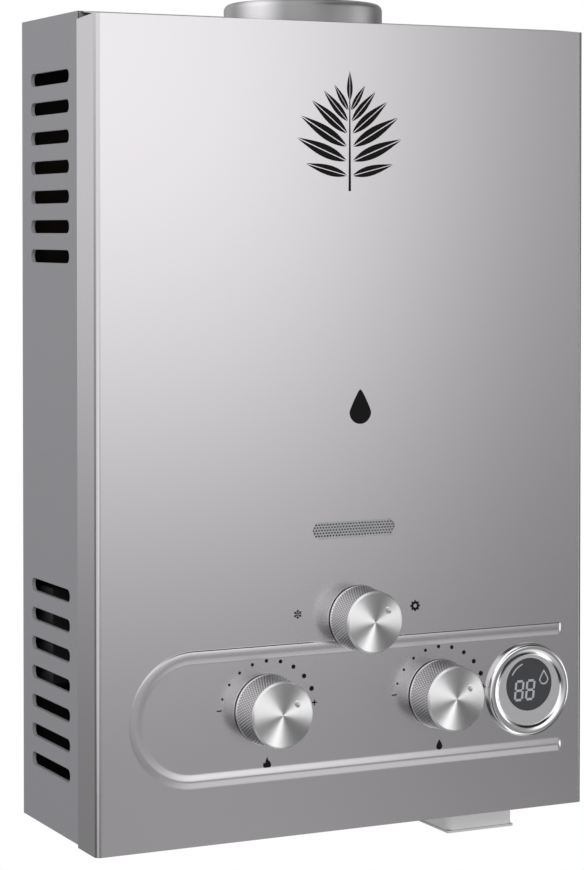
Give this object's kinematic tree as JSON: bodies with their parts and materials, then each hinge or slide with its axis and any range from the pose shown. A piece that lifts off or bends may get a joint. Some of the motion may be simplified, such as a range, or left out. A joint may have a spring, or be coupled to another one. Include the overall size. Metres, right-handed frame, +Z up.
{
  "type": "portable propane water heater",
  "caption": "Wall-hung flue-type gas water heater: slotted steel case, front controls, round display, burner, finned heat exchanger, gas and water valves, battery box.",
  "frame": {"origin": "on the wall plane, midway between the two upper wall holes", "axes": "+X to the right as one faces the front, +Y into the wall, +Z up"},
  "size_m": [0.432, 0.1887, 0.6788],
  "materials": {
    "silver_paint": "satin metallic paint",
    "zinc_sheet": "galvanised",
    "rivet_metal": "plain",
    "screw_steel": "bright plated",
    "grille_steel": "perforated sheet",
    "knob_metal": "spun face",
    "brass": "machined",
    "bezel_chrome": "mirror",
    "display_silver": "metallised",
    "display_dark": "dark window",
    "circuit_board": "lacquered board",
    "black_plastic": "moulded",
    "bright_steel": "rolled",
    "copper": "bare copper",
    "burner_steel": "stainless",
    "cast_metal": "die cast",
    "spring_steel": "drawn wire",
    "rubber": "moulded",
    "coil_wrap": "taped winding",
    "armature_steel": "turned",
    "switch_red": "moulded",
    "box_plastic": "light grey",
    "cell_wrap": "plain wrapped cell",
    "contact_metal": "nickel plated",
    "controller_case": "moulded",
    "ceramic": "glazed ceramic",
    "lead_cover": "silicone sleeve"
  },
  "bodies": {
    "casing": {"rear_casing": "silver_paint", "top_panel": "silver_paint", "bottom_panel": "zinc_sheet", "hanger_plate": "zinc_sheet", "casing_rivets": "rivet_metal", "front_cover": "silver_paint", "cover_screws": "screw_steel", "window_grille": "grille_steel", "display_bezel": "bezel_chrome", "display_face": "display_silver", "display_lens": "display_dark", "display_board": "circuit_board", "display_housing": "black_plastic", "flue_collar": "bright_steel", "flue_hood": "zinc_sheet", "exchanger_shell": "copper", "exchanger_fins": "copper", "exchanger_tubes": "copper", "water_coil": "copper", "hot_pipe": "copper", "support_brackets": "zinc_sheet", "burner_frame": "zinc_sheet", "burner_blades": "burner_steel", "gas_manifold": "cast_metal", "gas_nozzles": "brass", "season_valve_body": "cast_metal", "gas_riser": "copper", "gas_valve_body": "cast_metal", "gas_valve_plug": "brass", "gas_valve_spring": "spring_steel", "solenoid_coil": "coil_wrap", "water_valve_body": "brass", "water_valve_cover": "brass", "stem_seal": "rubber", "diaphragm": "rubber", "clamp_screws": "screw_steel", "microswitch": "black_plastic", "gas_inlet_nipple": "brass", "cold_inlet_nipple": "brass", "hot_outlet_nipple": "brass", "lock_nuts": "brass", "battery_box": "box_plastic", "battery_cells": "cell_wrap", "cell_contacts": "contact_metal", "ignition_controller": "controller_case", "electrodes": "ceramic", "temperature_probe": "bright_steel", "wiring": "lead_cover"},
    "gas_control": {"gas_knob": "knob_metal", "gas_spindle": "brass"},
    "water_control": {"water_knob": "knob_metal", "water_spindle": "brass"},
    "season_control": {"season_knob": "knob_metal", "season_spindle": "brass"},
    "stem": {"valve_stem": "brass", "gas_valve_disc": "rubber"},
    "pin": {"switch_pin": "switch_red"},
    "armature": {"solenoid_armature": "armature_steel"},
    "lid": {"battery_lid": "box_plastic"},
    "drain": {"drain_tap": "black_plastic"}
  },
  "joints": [
    {"name": "gas_knob_turn", "type": "hinge", "parent": "casing", "child": "gas_control", "pos_m": [-0.073, 0, -0.4943], "axis": [0, -1, 0], "range_deg": [-31, 149]},
    {"name": "water_knob_turn", "type": "hinge", "parent": "casing", "child": "water_control", "pos_m": [0.0804, 0, -0.4943], "axis": [0, -1, 0], "range_deg": [-31, 149]},
    {"name": "season_knob_turn", "type": "hinge", "parent": "casing", "child": "season_control", "pos_m": [0.007, 0, -0.4283], "axis": [0, -1, 0], "range_deg": [-31, 149]},
    {"name": "valve_stem_lift", "type": "slide", "parent": "casing", "child": "stem", "axis": [-1, 0, 0], "range_m": [0, 0.003], "stiffness_N_per_m": 200, "springref_m": -0.01, "deforming": ["gas_valve_spring"]},
    {"name": "switch_pin_travel", "type": "slide", "parent": "casing", "child": "pin", "axis": [-1, 0, 0], "range_m": [0, 0.003]},
    {"name": "armature_lift", "type": "slide", "parent": "casing", "child": "armature", "axis": [0, 0, 1], "range_m": [0, 0.0025]},
    {"name": "battery_lid_swing", "type": "hinge", "parent": "casing", "child": "lid", "pos_m": [0.138, -0.0675, -0.6147], "axis": [1, 0, 0], "range_deg": [0, 100]},
    {"name": "drain_tap_turn", "type": "hinge", "parent": "casing", "child": "drain", "pos_m": [0.056, -0.085, -0.6], "axis": [0, 0, 1], "range_deg": [0, 90]}
  ],
  "couplings": [
    {"joint": "switch_pin_travel", "follows": "valve_stem_lift", "ratio": 1}
  ]
}
